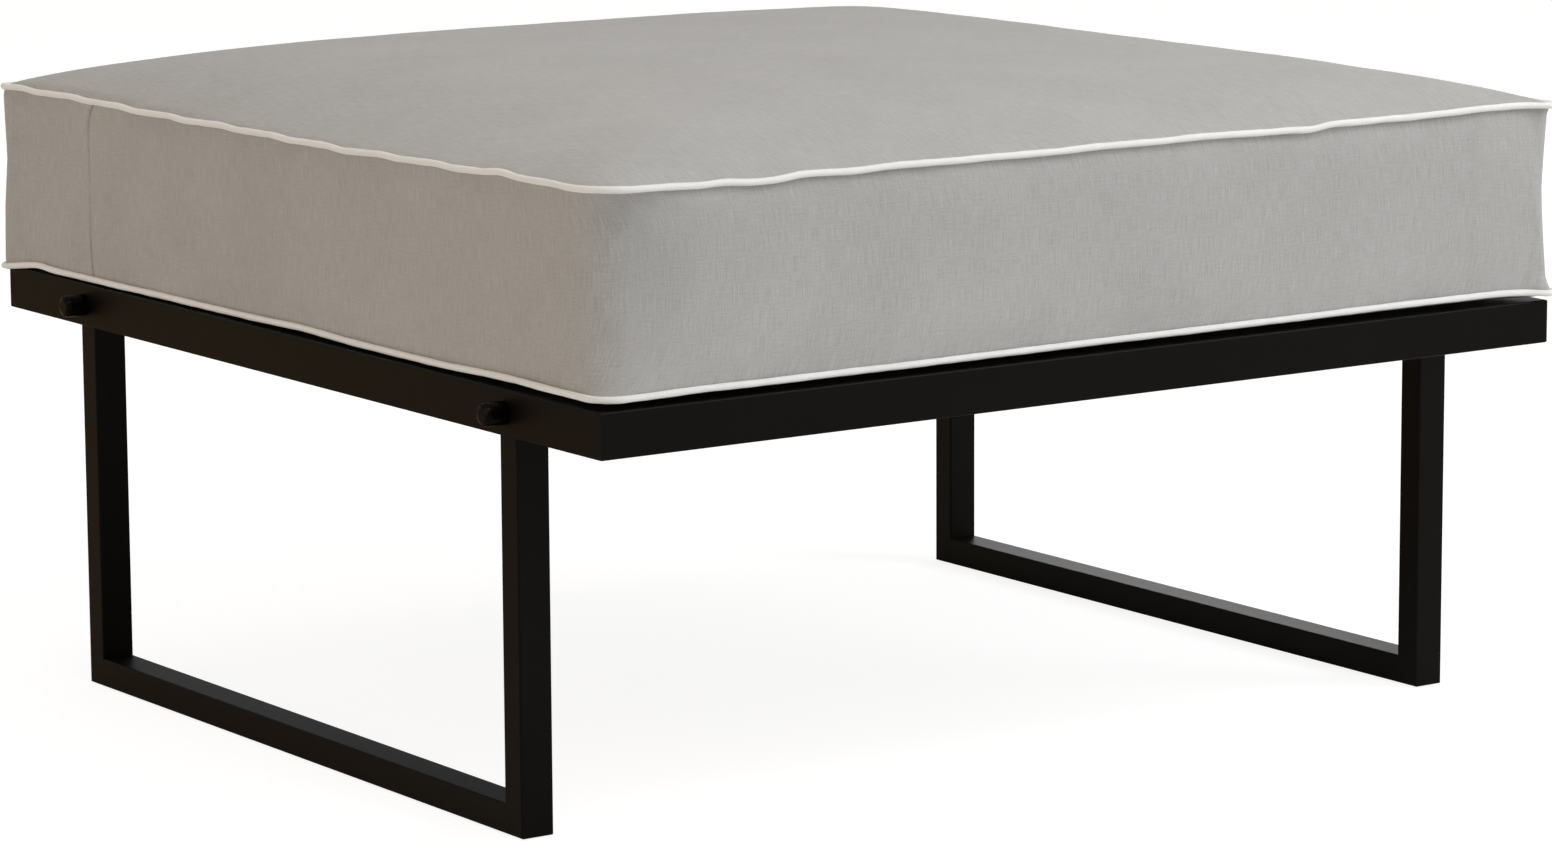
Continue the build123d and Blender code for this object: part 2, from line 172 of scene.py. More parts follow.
# Mesh lines: the usual step, and closer lines at the cushion's ends, at its boxing seams and up its band.
# From EDGE on, a point counts as on the unit square's edge.
COVER_STEP = 7.0
WELT_STEP = 3.0
WELT_SIDES = 12
EDGE = 1 - 1e-9
LINES_AT_ENDS = (0, 1.2, 2.4, 3.8, 5.4, 7.2, 9.2, 11.5, 14, 17, 21, 26, 32, 38)
LINES_AT_SEAM = (-7.0, -4.5, -2.6, -1.5, -0.8, 0.0, 0.8, 1.5, 2.6, 4.5, 7.0)
LINES_UP_BAND = (0.17, 0.24, 0.32, 0.4, 0.48, 0.56, 0.64, 0.71, 0.78, 0.84, 0.89, 0.93, 0.96, 0.98)

# Cloth: the spacing of its threads, how often the slubs of warp and weft come in a metre across and along,
# and how far the band's warp leans over at the welts
THREAD = 0.9
WARP_SLUBS = (1450.0, 60.0, 1.0)
WEFT_SLUBS = (70.0, 1200.0, 1.0)
WEAVE_LEAN = 9.0

# Where most of a noise's values lie
NOISE_RANGE = (0.3, 0.7)

# Colours, each with the one that its texture brings in
COVER_GREY = ((0.456, 0.458, 0.456), (0.342, 0.344, 0.342))
WELT_WHITE = ((0.87, 0.88, 0.88), (0.75, 0.76, 0.76))
FRAME_BLACK = ((0.0018, 0.0013, 0.0009), (0.0026, 0.0020, 0.0014))
PEG_BLACK = ((0.0008, 0.0007, 0.0006), (0.0014, 0.0012, 0.001))
ZINC_BLACK = ((0.030, 0.030, 0.031), (0.050, 0.050, 0.048))
NYLON_BLACK = ((0.010, 0.010, 0.010), (0.014, 0.014, 0.014))
ZIP_GREY = ((0.30, 0.29, 0.27), (0.20, 0.19, 0.18))
ENAMEL_GREY = ((0.24, 0.23, 0.215), (0.28, 0.27, 0.25))

# Camera at the photo's angle: its place in metres, its turns in radians, its lens and sensor in millimetres
CAMERA_PLACE = (-2.2451, -3.2720, 0.8815)
CAMERA_YAW = 0.6363
CAMERA_DOWN = 0.1731
LENS = 131.8
SENSOR = 36.0
SHIFT_X = -0.1121

# Surroundings: warm on the left and neutral on the right. The floor's tint shows only in gloss.
FLOOR_HALF = 30000.0
FLOOR_WARM = (0.74, 0.52, 0.34)
FLOOR_NEUTRAL = (0.8, 0.8, 0.8)
FLOOR_WHITE = ((0.91, 0.91, 0.91), (0.93, 0.93, 0.93))
FLOOR_SEEN = 0.7
FLOOR_GLOW = 1.25
WORLD_LIGHT = 0.43
WORLD_WARM = (0.85, 0.63, 0.42)
WORLD_COOL = (0.98, 1.0, 1.0)

# Lamps, in metres: name, place, aim, width, depth, watts and colour
LAMPS = (
    ("key", (2.7, -2.7, 2.5), (0.0, 0.0, 0.35), 1.7, 1.7, 60.0, (1.0, 1.0, 1.0)),
    ("front_strip", (0.35, -0.95, 1.35), (0.2, -0.33, 0.45), 1.8, 0.35, 4.2, (1.0, 1.0, 1.0)),
    ("front_high", (-0.8, -2.4, 4.2), (0.0, 0.0, 0.4), 1.6, 1.6, 25.0, (0.96, 0.98, 1.0)),
    ("left_fill", (-4.5, 0.6, 1.6), (0.0, 0.0, 0.3), 2.4, 2.4, 39.0, (1.0, 0.82, 0.65)),
    ("overhead", (0.6, 0.4, 4.2), (0.0, 0.0, 0.3), 2.0, 2.0, 18.0, (1.0, 0.94, 0.90)),
    ("behind", (2.35, 2.35, 0.5), (0.4, 0.0, 0.02), 0.9, 0.9, 6.0, (1.0, 1.0, 1.0)),
)


# Nodes


def new_material(name):
    material = bpy.data.materials.new(name)
    material.use_nodes = True
    tree = material.node_tree
    return material, tree, tree.nodes["Principled BSDF"]


def math_node(tree, operation, first, second=None):
    node = tree.nodes.new("ShaderNodeMath")
    node.operation = operation
    for socket, value in zip(node.inputs, (first, second)):
        if isinstance(value, (int, float)):
            socket.default_value = value
        elif value is not None:
            tree.links.new(value, socket)
    return node.outputs[0]


def scaled(tree, vector, scale):
    node = tree.nodes.new("ShaderNodeVectorMath")
    node.operation = "MULTIPLY"
    tree.links.new(vector, node.inputs[0])
    node.inputs[1].default_value = scale
    return node.outputs[0]


def noise_at(tree, vector, scale, detail=2.0, roughness=0.6):
    node = tree.nodes.new("ShaderNodeTexNoise")
    node.inputs["Scale"].default_value = scale
    node.inputs["Detail"].default_value = detail
    node.inputs["Roughness"].default_value = roughness
    tree.links.new(vector, node.inputs["Vector"])
    return node.outputs["Fac"]


def mixed(tree, factor, first, second):
    """A blend of two colours, each a colour or a socket."""
    node = tree.nodes.new("ShaderNodeMix")
    node.data_type = "RGBA"
    for socket, value in ((node.inputs[0], factor), (node.inputs[6], first), (node.inputs[7], second)):
        if isinstance(value, bpy.types.NodeSocket):
            tree.links.new(value, socket)
        else:
            socket.default_value = (*value, 1.0)
    return node.outputs[2]


def spread(tree, value, source, target=(0.0, 1.0)):
    """Moves a value from one range to another."""
    node = tree.nodes.new("ShaderNodeMapRange")
    for socket, number in zip(node.inputs[1:5], (*source, *target)):
        socket.default_value = number
    tree.links.new(value, node.inputs[0])
    return node.outputs[0]


def add_bump(tree, shader, height, strength, distance):
    node = tree.nodes.new("ShaderNodeBump")
    node.inputs["Strength"].default_value = strength
    node.inputs["Distance"].default_value = distance
    tree.links.new(height, node.inputs["Height"])
    tree.links.new(node.outputs["Normal"], shader.inputs["Normal"])


def object_place(tree):
    return tree.nodes.new("ShaderNodeTexCoord").outputs["Object"]


# Materials


def woven_cloth(name, light, dark, slub=1.0):
    """Plain weave on the piece's weave coordinates, with slubs along its warp and fainter ones across."""
    material, tree, shader = new_material(name)
    weave = tree.nodes.new("ShaderNodeUVMap")
    weave.uv_map = "weave"
    place = weave.outputs[0]
    warp = noise_at(tree, scaled(tree, place, WARP_SLUBS), 1.0, detail=3.0, roughness=0.65)
    weft = noise_at(tree, scaled(tree, place, WEFT_SLUBS), 1.0, detail=3.0, roughness=0.65)
    fleck = noise_at(tree, place, 900.0)
    cloud = noise_at(tree, place, 11.0, detail=3.0, roughness=0.55)
    tones = (
        (warp, NOISE_RANGE, 0.95 * slub),
        (weft, NOISE_RANGE, 0.5 * slub),
        (fleck, NOISE_RANGE, 0.55),
        (cloud, (0.35, 0.65), 0.22),
    )
    tone = 0.5
    for noise, source, weight in tones:
        part = math_node(tree, "MULTIPLY", spread(tree, noise, source, (-0.5, 0.5)), weight)
        tone = math_node(tree, "ADD", part, tone)
    tree.links.new(mixed(tree, tone, dark, light), shader.inputs["Base Color"])
    split = tree.nodes.new("ShaderNodeSeparateXYZ")
    tree.links.new(place, split.inputs[0])
    turns = 2 * math.pi / (THREAD * MM)
    across = math_node(tree, "SINE", math_node(tree, "MULTIPLY", split.outputs[0], turns))
    along = math_node(tree, "SINE", math_node(tree, "MULTIPLY", split.outputs[1], turns))
    height = math_node(tree, "MULTIPLY", math_node(tree, "MULTIPLY", across, along), 0.35)
    for noise, weight in ((warp, 0.9), (weft, 0.6)):
        height = math_node(tree, "ADD", height, math_node(tree, "MULTIPLY", noise, weight))
    add_bump(tree, shader, height, strength=0.35, distance=0.0003)
    tree.links.new(spread(tree, fleck, NOISE_RANGE, (0.82, 0.95)), shader.inputs["Roughness"])
    shader.inputs["Specular IOR Level"].default_value = 0.25
    shader.inputs["Sheen Weight"].default_value = 0.15
    shader.inputs["Sheen Roughness"].default_value = 0.6
    return material


def powder_coat(name, colour, mottle, grain=2600.0, roughness=0.5, specular=0.075):
    """Fine-textured powder coat with a slight mottle."""
    swing = 0.06
    material, tree, shader = new_material(name)
    place = object_place(tree)
    fine = noise_at(tree, place, grain)
    broad = noise_at(tree, place, 14.0, detail=3.0)
    tone = spread(tree, broad, NOISE_RANGE)
    rough = spread(tree, fine, NOISE_RANGE, (roughness - swing, roughness + swing))
    tree.links.new(mixed(tree, tone, colour, mottle), shader.inputs["Base Color"])
    tree.links.new(rough, shader.inputs["Roughness"])
    shader.inputs["Specular IOR Level"].default_value = specular
    add_bump(tree, shader, fine, strength=0.25, distance=0.00008)
    return material


def black_zinc(name, colour, paler):
    material, tree, shader = new_material(name)
    streak = noise_at(tree, scaled(tree, object_place(tree), (300.0, 2200.0, 2200.0)), 1.0)
    tree.links.new(mixed(tree, streak, colour, paler), shader.inputs["Base Color"])
    tree.links.new(spread(tree, streak, NOISE_RANGE, (0.28, 0.42)), shader.inputs["Roughness"])
    shader.inputs["Metallic"].default_value = 1.0
    return material


def zip_nylon(name, colour, darker):
    """Nylon coil and its woven tape."""
    material, tree, shader = new_material(name)
    rib = noise_at(tree, scaled(tree, object_place(tree), (1400.0, 1400.0, 300.0)), 1.0)
    tree.links.new(mixed(tree, spread(tree, rib, NOISE_RANGE), darker, colour), shader.inputs["Base Color"])
    tree.links.new(spread(tree, rib, NOISE_RANGE, (0.45, 0.65)), shader.inputs["Roughness"])
    add_bump(tree, shader, rib, strength=0.3, distance=0.0002)
    return material


# Meshes


def make_mesh(name, points, faces, material, corner_uv=None):
    mesh = bpy.data.meshes.new(name)
    mesh.from_pydata([tuple(p) for p in np.asarray(points) * MM], [], faces)
    mesh.materials.append(material)
    mesh.polygons.foreach_set("use_smooth", [True] * len(mesh.polygons))
    if corner_uv is not None:
        layer = mesh.uv_layers.new(name="weave")
        layer.data.foreach_set("uv", np.asarray(corner_uv, float).ravel() * MM)
    mesh.update()
    obj = bpy.data.objects.new(name, mesh)
    bpy.context.scene.collection.objects.link(obj)
    return obj


def keyed(keys, position):
    """A smooth line through the keys, which are a distance along a side and a height."""
    past_ends = 40.0
    bell_half, bell_width = 20, 7.0
    at, value = zip(*keys)
    dense = np.arange(-past_ends, 2 * HALF + past_ends + 1.0, 1.0)
    line = np.interp(dense, at, value)
    bell = np.exp(-(np.arange(-bell_half, bell_half + 1) / bell_width) ** 2)
    smooth = np.convolve(np.pad(line, bell_half, mode="edge"), bell / bell.sum(), mode="valid")
    return np.interp(position, dense, smooth)


def on_sides(u, v, left, front, right, back):
    """The value of the side that a point of the unit square's edge is on."""
    along_x = (u + 1) * HALF
    along_y = (v + 1) * HALF
    choices = [keyed(left, along_y), keyed(front, along_x), keyed(right, along_y), keyed(back, along_x)]
    sides = [u <= -EDGE, v <= -EDGE, u >= EDGE, v >= EDGE]
    return np.select(sides, choices, 0.0)


def corner_key(keys, share, column):
    return np.interp(share, [key[0] for key in keys], [key[column] for key in keys])


def corner_reach(u, v, share):
    """How far a corner's rounding runs along x and along y, at a share of the height between the welts."""
    near = (u < 0) & (v < 0)
    low, high = NEAR_CORNER_BOTTOM, NEAR_CORNER_TOP
    at_welts = (low + high) / 2 + share * (high - low) / 2
    free = np.sqrt(np.clip(1 - np.abs(share) ** NEAR_CORNER_POWER, 0, 1))
    along_x = at_welts + (NEAR_CORNER_ALONG_FRONT - at_welts) * free
    along_y = at_welts + (NEAR_CORNER_ALONG_LEFT - at_welts) * free
    left = (u < 0) & (v > 0)
    other = np.where(left, corner_key(BACK_LEFT_CORNER, share, 1), corner_key(RIGHT_CORNERS, share, 1))
    return np.where(near, along_x, other), np.where(near, along_y, other)


def outline(u, v, share, inset):
    """The cushion's plan at a point of the unit square's edge, and its outward direction."""
    reach_x, reach_y = corner_reach(u, v, np.asarray(share, float))
    x = np.abs(u) * HALF
    y = np.abs(v) * HALF
    on_x_side = np.abs(u) >= np.abs(v)
    turn_y = np.clip((y - (HALF - reach_y)) / reach_y, 0, 1) * math.pi / 4
    turn_x = np.clip((x - (HALF - reach_x)) / reach_x, 0, 1) * math.pi / 4
    turn = np.where(on_x_side, turn_y, math.pi / 2 - turn_x)
    round_x = HALF - reach_x + reach_x * np.cos(turn)
    round_y = HALF - reach_y + reach_y * np.sin(turn)
    x = np.where(on_x_side | (turn_x > 0), round_x, x)
    y = np.where(~on_x_side | (turn_y > 0), round_y, y)
    nx = np.cos(turn) / reach_x
    ny = np.sin(turn) / reach_y
    size = np.hypot(nx, ny)
    nx = nx / size
    ny = ny / size
    along = np.where(on_x_side, np.abs(v), np.abs(u))
    flat = np.clip(1 - along**2, 0, 1)
    drawn = np.where((v > 0) & ~on_x_side, BACK_DRAW_IN, SIDE_DRAW_IN) * flat
    drawn_out = np.where(u < 0, corner_key(BACK_LEFT_CORNER, share, 2), corner_key(RIGHT_CORNERS, share, 2))
    ear = np.where((u < 0) & (v < 0), 0.0, drawn_out) * np.exp(-(((1 - along) * HALF / EAR_WIDTH) ** 2))
    inset = np.asarray(inset) + drawn - ear
    nx = nx * np.sign(u)
    ny = ny * np.sign(v)
    return np.sign(u) * x - nx * inset, np.sign(v) * y - ny * inset, nx, ny


def scallops(along, start, length, lift):
    """A welt's waves between its stitches, slow to rise and quick to drop, that die out at a side's ends."""
    fade_in, fade_out, quickness = 70, 25, 0.35
    turn = (along - start) * 2 * math.pi / length
    ends = np.clip(along / fade_in, 0, 1) * np.clip((2 * HALF - along) / fade_out, 0, 1)
    return lift * ends * (np.sin(turn) + quickness * np.sin(2 * turn))


def welt_heights(u, v):
    """Heights of the bottom and the top welt."""
    along = np.where(np.abs(u) >= np.abs(v), (v + 1) * HALF, (u + 1) * HALF)
    left = u <= -EDGE
    front = (v <= -EDGE) & ~left
    left_waves = scallops(along, start=393, length=70, lift=0.45)
    other_waves = scallops(along, start=40, length=83, lift=np.where(front, 0.2, 0.4))
    top = TOP_WELT_Z + np.where(left, left_waves, other_waves)
    top = top + on_sides(u, v, TOP_LEFT, TOP_FRONT, TOP_RIGHT, TOP_BACK)
    bottom = BOTTOM_WELT_Z + on_sides(u, v, BOTTOM_LEFT, BOTTOM_FRONT, BOTTOM_RIGHT, BOTTOM_BACK)
    return bottom, top


def lines(step, extra=()):
    """The mesh's lines from one edge of the cushion to the other, as shares of its half width."""
    end = LINES_AT_ENDS[-1]
    middle = np.arange(-HALF + end + step, HALF - end - step / 2, step)
    places = [side * (HALF - off) for side in (-1, 1) for off in LINES_AT_ENDS]
    places += [m for m in middle if all(abs(m - e) > step / 2 for e in extra)]
    return np.array(sorted(places + list(extra))) / HALF


def way_round(u, v):
    """How far round the cushion a point is from the near corner, along the front first, as an angle."""
    way = np.select([v <= -EDGE, u >= EDGE, v >= EDGE], [u + 1, 3 + v, 5 - u], 7 - v)
    return way * math.pi / 4


def waves(angle, height, seed, lengths, count, climb):
    """Smooth waves that close up round the cushion, the same in every run."""
    rng = np.random.default_rng(seed)
    round_length = 8 * HALF
    total = np.zeros(np.broadcast(angle, height).shape)
    for _ in range(count):
        turns = round(round_length / rng.uniform(*lengths))
        phase = rng.uniform(0, 2 * math.pi)
        swell = 0.6 + 0.4 * np.sin(rng.integers(2, 6) * angle + phase)
        total = total + swell * np.sin(turns * angle + phase + climb * rng.uniform(-1, 1) * height)
    return total / math.sqrt(count)


def puckers(angle, reach, seed):
    """Small gathers that run in from a welt."""
    fade = np.exp(-np.abs(reach) / PUCKER_RUN) * (1 - np.exp(-np.abs(reach) / PUCKER_START))
    return fade * waves(angle, reach, seed, PUCKER_LENGTHS, count=6, climb=0.02)


def ripple(x, y, seed):
    """Smooth waves over the top."""
    rng = np.random.default_rng(seed)
    total = np.zeros(np.broadcast(x, y).shape)
    for _ in range(TOP_RIPPLES):
        length = rng.uniform(*TOP_RIPPLE_LENGTHS)
        angle = rng.uniform(0, 2 * math.pi)
        phase = rng.uniform(0, 2 * math.pi)
        total = total + np.sin((x * math.cos(angle) + y * math.sin(angle)) * 2 * math.pi / length + phase)
    return total / math.sqrt(TOP_RIPPLES)


def numbered(grids):
    """Point numbers for grids of points that follow each other in one mesh."""
    first = 0
    for grid in grids:
        rows, columns = grid.shape[:2]
        yield first + np.arange(rows * columns).reshape(rows, columns)
        first += rows * columns


def quads(index, s, t, flipped=False):
    """The faces of a grid of point numbers, and the weave coordinates of their corners."""
    faces, weave = [], []
    rows, columns = index.shape
    for i in range(rows - 1):
        for j in range(columns - 1):
            loop = [(i, j), (i, j + 1), (i + 1, j + 1), (i + 1, j)]
            if flipped:
                loop.reverse()
            faces.append([int(index[a]) for a in loop])
            weave += [(s[a], t[a]) for a in loop]
    return faces, weave


def edge_loop(u_lines, v_lines):
    """The unit square's edge once round, from the near corner along the front."""
    front = [(u, -1.0) for u in u_lines[:-1]]
    right = [(1.0, v) for v in v_lines[:-1]]
    back = [(u, 1.0) for u in u_lines[:0:-1]]
    left = [(-1.0, v) for v in v_lines[:0:-1]]
    return np.array(front + right + back + left)


def rim_of(index):
    """The point numbers at a grid's edge once round, as edge_loop runs."""
    return np.concatenate([index[0, :-1], index[:-1, -1], index[-1, :0:-1], index[:0:-1, 0]])


def loop_steps(loop):
    """The length of each step of a closed loop on the unit square's edge."""
    return np.hypot(*np.diff(np.vstack([loop, loop[:1]]) * HALF, axis=0).T)


def straight_out(u, v):
    """The point of the unit square's edge straight out from the middle, and how near to it a point is."""
    ring = np.maximum(np.abs(u), np.abs(v))
    safe = np.maximum(ring, 1e-6)
    ue, ve = u / safe, v / safe
    on_x_side = np.abs(ue) >= np.abs(ve)
    ue = np.where(on_x_side, np.sign(ue), ue)
    ve = np.where(~on_x_side, np.sign(ve), ve)
    at_corner = (np.abs(np.abs(u) - np.abs(v)) < 1e-9) & (ring > 0)
    return np.where(at_corner, np.sign(u), ue), np.where(at_corner, np.sign(v), ve), ring


def crown_rise(u, v):
    """The crown's height as a share, with a ridge of its own sharpness to each corner."""
    nearness = [((1 + a * u) * (1 + b * v) / 4) ** 2 for a, b, _ in CROWN_RIDGES]
    ridge = sum(near * row[2] for near, row in zip(nearness, CROWN_RIDGES)) / sum(nearness)
    rise_u, rise_v = [np.clip(1 - np.abs(w) ** CROWN_POWER, 0, 1) ** CROWN_EASE for w in (u, v)]
    rise_u, rise_v = np.maximum(rise_u, 1e-4), np.maximum(rise_v, 1e-4)
    return ((rise_u**-ridge + rise_v**-ridge) / 2) ** (-1 / ridge)


def panel_points(u, v, below):
    """The top or the underside over the unit square."""
    ue, ve, ring = straight_out(u, v)
    ex, ey, _, _ = outline(ue, ve, -1.0 if below else 1.0, SEAM_TUCK)
    grow = ring**6
    x = u * HALF + (ex - ue * HALF) * grow
    y = v * HALF + (ey - ve * HALF) * grow
    bottom, top = welt_heights(ue, ve)
    inward = (1 - ring) * HALF
    if below:
        run = np.clip(inward / BASE_RUN, 0, 1)
        z = BASE_Z + (bottom - BASE_Z) * (1 - np.sqrt(1 - (1 - run) ** 2))
        return np.stack([x, y, z], axis=-1)
    z = TOP_EDGE_Z + (top - TOP_EDGE_Z) * ring**4 + CROWN * crown_rise(u, v)
    z = z + TOP_RIPPLE * ripple(x, y, seed=5) * (1 - ring**4)
    z = z + TOP_PUCKER * puckers(way_round(ue, ve), inward, seed=11)
    return np.stack([x, y, z], axis=-1)


def side_heights(u, v, share):
    """Heights up the band, with the zip's slot kept level while the welts wave."""
    bottom, top = welt_heights(u, v)
    level = ZIP_SLOT_HALF + ZIP_SLOT_LIP
    up = np.abs(share) * HALF_BAND
    reach = np.where(share > 0, top - MIDDLE_Z, MIDDLE_Z - bottom)
    beyond = np.clip(up - level, 0, None) / (HALF_BAND - level)
    return MIDDLE_Z + np.sign(share) * (np.minimum(up, level) + beyond * (reach - level))


def side_bow(u, v):
    """A side's bow: whole by the near corner, half by the right ones and none by the back left one."""
    from_corner = (1 - np.minimum(np.abs(u), np.abs(v))) * HALF
    eased = np.select([(u < 0) & (v > 0), np.maximum(u, v) > 0], [1.0, 0.5], 0.0)
    return SIDE_BOW * (1 - eased * np.exp(-((from_corner / BOW_EASE_RUN) ** 2)))


def seam_groove(y, share):
    """How deep the cloth lies at a boxing seam, with the low ridge beside it."""
    groove = (GROOVE_DEPTH + GROOVE_MORE_AT_WELTS * share**2) * np.exp(-(((y - SEAM_Y) / GROOVE_WIDTH) ** 2))
    return groove - SEAM_RIDGE * np.exp(-(((y - SEAM_Y + SEAM_RIDGE_OFF) / SEAM_RIDGE_WIDTH) ** 2))


def seam_bend(y, share):
    """How far a boxing seam bends to the front, which is most at the welts."""
    bend = SEAM_BEND_TOP * np.clip(share, 0, 1) ** 5 + SEAM_BEND_BOTTOM * np.clip(-share, 0, 1) ** 4
    return bend * np.exp(-(((y - SEAM_Y) / SEAM_BEND_WIDTH) ** 2))


def side_points(u, v, share):
    """The band between the welts."""
    z = side_heights(u, v, share)
    from_welt = (1 - np.abs(share)) * HALF_BAND
    inset = side_bow(u, v) * (1 - share**2) + SEAM_TUCK * np.exp(-from_welt / TUCK_RUN)
    x, y, nx, ny = outline(u, v, share, inset)
    angle = way_round(u, v)
    wave = waves(angle, z, seed=8, lengths=SIDE_WAVE_LENGTHS, count=7, climb=0.03)
    proud = SIDE_WAVE * wave * (1 - share**4)
    proud = proud + SIDE_PUCKER * puckers(angle, from_welt * np.sign(share), seed=23)
    by_seam = (np.abs(nx) > 0.99) & (np.abs(y - SEAM_Y) < SEAM_REACH)
    proud = proud - np.where(by_seam, seam_groove(y, share), 0)
    y = y - np.where(by_seam, seam_bend(y, share), 0)
    at_back = ny > 0.9
    calm = at_back * np.exp(-(((z - MIDDLE_Z) / ZIP_CALM_RUN) ** 2))
    calm = calm * np.clip((ZIP_HALF + ZIP_CALM_END - np.abs(x)) / ZIP_CALM_FADE, 0, 1)
    proud = proud * (1 - ZIP_CALM * calm) + ZIP_PROUD * calm
    in_slot = at_back & (np.abs(x) < ZIP_HALF + ZIP_SLOT_END / 2) & (np.abs(z - MIDDLE_Z) < ZIP_SLOT_HALF)
    proud = np.where(in_slot, -ZIP_DEPTH, proud)
    return np.stack([x + nx * proud, y + ny * proud, z], axis=-1)


def held_on_top(u, v):
    """How firmly the top is held: wholly at its seam, and freely from a little way in."""
    inward = (1 - np.maximum(np.abs(u), np.abs(v))) * HALF
    return np.round(np.clip(1 - inward / HELD_RUN, 0, 1), 1)


def held_on_side(u, v, share):
    """How firmly the sides are held: wholly at the welts, the boxing seams and the zip."""
    from_welt = (1 - np.abs(share)) * HALF_BAND
    from_seam = np.where(np.abs(u) >= EDGE, np.abs(v * HALF - SEAM_Y), HALF)
    at_back = (v >= EDGE) & (np.abs(u) * HALF < ZIP_HALF + PULL_ROOM)
    from_slot = np.clip(np.abs(share) * HALF_BAND - ZIP_SLOT_HALF - ZIP_HELD, 0, None)
    from_zip = np.where(at_back, from_slot, HALF)
    nearest = np.minimum(np.minimum(from_welt, from_seam), from_zip)
    return np.round(np.clip(1 - nearest / HELD_RUN, 0, 1), 1)


def settle(obj, held):
    """Lets the cloth swell between its seams in a short simulation, and keeps the result in the mesh."""
    mesh = obj.data
    group = obj.vertex_groups.new(name="held")
    for level in np.unique(held):
        group.add([int(i) for i in np.nonzero(held == level)[0]], float(level), "REPLACE")
    modifier = obj.modifiers.new("settle", "CLOTH")
    modifier.settings.quality = SWELL_QUALITY
    modifier.settings.mass = SWELL_MASS
    modifier.settings.use_pressure = True
    modifier.settings.uniform_pressure_force = SWELL_PRESSURE
    modifier.settings.vertex_group_mass = group.name
    modifier.settings.effector_weights.gravity = 0.0
    modifier.collision_settings.use_collision = False
    modifier.point_cache.frame_start = 1
    modifier.point_cache.frame_end = SWELL_FRAMES
    for number in range(1, SWELL_FRAMES + 1):
        bpy.context.scene.frame_set(number)
    swollen = obj.evaluated_get(bpy.context.evaluated_depsgraph_get()).data
    before = np.empty(3 * len(mesh.vertices))
    after = np.empty(3 * len(mesh.vertices))
    mesh.vertices.foreach_get("co", before)
    swollen.vertices.foreach_get("co", after)
    moved = (after - before).reshape(-1, 3)
    size = np.linalg.norm(moved, axis=1)
    cap = SWELL_CAP * MM
    middle, most = float(np.median(size[held < 1])), float(size.max())
    print("swell in mm: middle", round(middle / MM, 2), "most", round(most / MM, 2))
    moved *= (cap * np.tanh(size / cap) / np.maximum(size, 1e-9))[:, None]
    obj.modifiers.remove(modifier)
    obj.vertex_groups.clear()
    mesh.vertices.foreach_set("co", before + moved.ravel())
    mesh.update()
    bpy.context.scene.frame_set(1)


def band_shares():
    """The mesh's lines up the band, as shares of its height."""
    slot_edges = [(ZIP_SLOT_HALF + lip) / HALF_BAND for lip in (-ZIP_SLOT_LIP, ZIP_SLOT_LIP)]
    above = slot_edges + list(LINES_UP_BAND)
    return np.array(sorted([-share for share in above] + [0.0] + above))


def build_cover(material):
    zip_ends = [side * (ZIP_HALF + past) for side in (-1, 1) for past in (0.0, ZIP_SLOT_END)]
    u_lines = lines(COVER_STEP, zip_ends)
    v_lines = lines(COVER_STEP, [SEAM_Y + off for off in LINES_AT_SEAM])
    shares = band_shares()
    u, v = np.meshgrid(u_lines, v_lines)
    loop = edge_loop(u_lines, v_lines)
    loop_u, share = np.meshgrid(loop[:, 0], shares)
    loop_v, _ = np.meshgrid(loop[:, 1], shares)
    top = panel_points(u, v, below=False)
    base = panel_points(u, v, below=True)
    grids = (top, base, side_points(loop_u, loop_v, share))
    top_index, base_index, band_index = numbered(grids)
    band_index = np.vstack([rim_of(base_index), band_index, rim_of(top_index)])
    band_index = np.hstack([band_index, band_index[:, :1]])
    heights = np.concatenate([[-1], shares, [1]])[:, None]
    travel = np.concatenate([[0], np.cumsum(loop_steps(loop))])[None, :]
    band_s = travel + WEAVE_LEAN * np.abs(heights) ** 3
    band_t = np.broadcast_to(heights * HALF_BAND, band_s.shape)
    faces, weave = [], []
    for part_faces, part_weave in (
        quads(top_index, top[..., 0], top[..., 1]),
        quads(base_index, base[..., 0], base[..., 1], flipped=True),
        quads(band_index, band_s, band_t),
    ):
        faces += part_faces
        weave += part_weave
    points = np.concatenate([grid.reshape(-1, 3) for grid in grids]) + np.array([CENTRE_X, 0, 0])
    obj = make_mesh("cushion_cover", points, faces, material, weave)
    held_by_part = (held_on_top(u, v), np.ones(u.shape), held_on_side(loop_u, loop_v, share))
    settle(obj, np.concatenate([part.ravel() for part in held_by_part]))
    return obj


def tube_mesh(name, path, radii, material):
    """A closed tube along a closed path."""
    ahead = np.roll(path, -1, axis=0) - np.roll(path, 1, axis=0)
    ahead /= np.linalg.norm(ahead, axis=1)[:, None]
    out = np.cross(ahead, (0.0, 0.0, 1.0))
    out /= np.linalg.norm(out, axis=1)[:, None]
    lift = np.cross(out, ahead)
    turns = np.linspace(0, 2 * math.pi, WELT_SIDES + 1)
    turn = turns[None, :-1, None]
    ring = np.cos(turn) * out[:, None, :] + np.sin(turn) * lift[:, None, :]
    points = (path[:, None, :] + ring * radii[:, None, None]).reshape(-1, 3)
    steps = np.linalg.norm(np.roll(path, -1, axis=0) - path, axis=1)
    travel = np.concatenate([[0], np.cumsum(steps)])
    places = np.arange(len(path) + 1) % len(path)
    corners = np.arange(WELT_SIDES + 1) % WELT_SIDES
    t, s = np.meshgrid(turns * WELT_RADIUS, travel, indexing="ij")
    faces, weave = quads(corners[:, None] + places[None, :] * WELT_SIDES, s, t)
    return make_mesh(name, points, faces, material, weave)


def sum_of_waves(along, rows):
    return sum(size * np.sin(along / run + start) for size, run, start in rows)


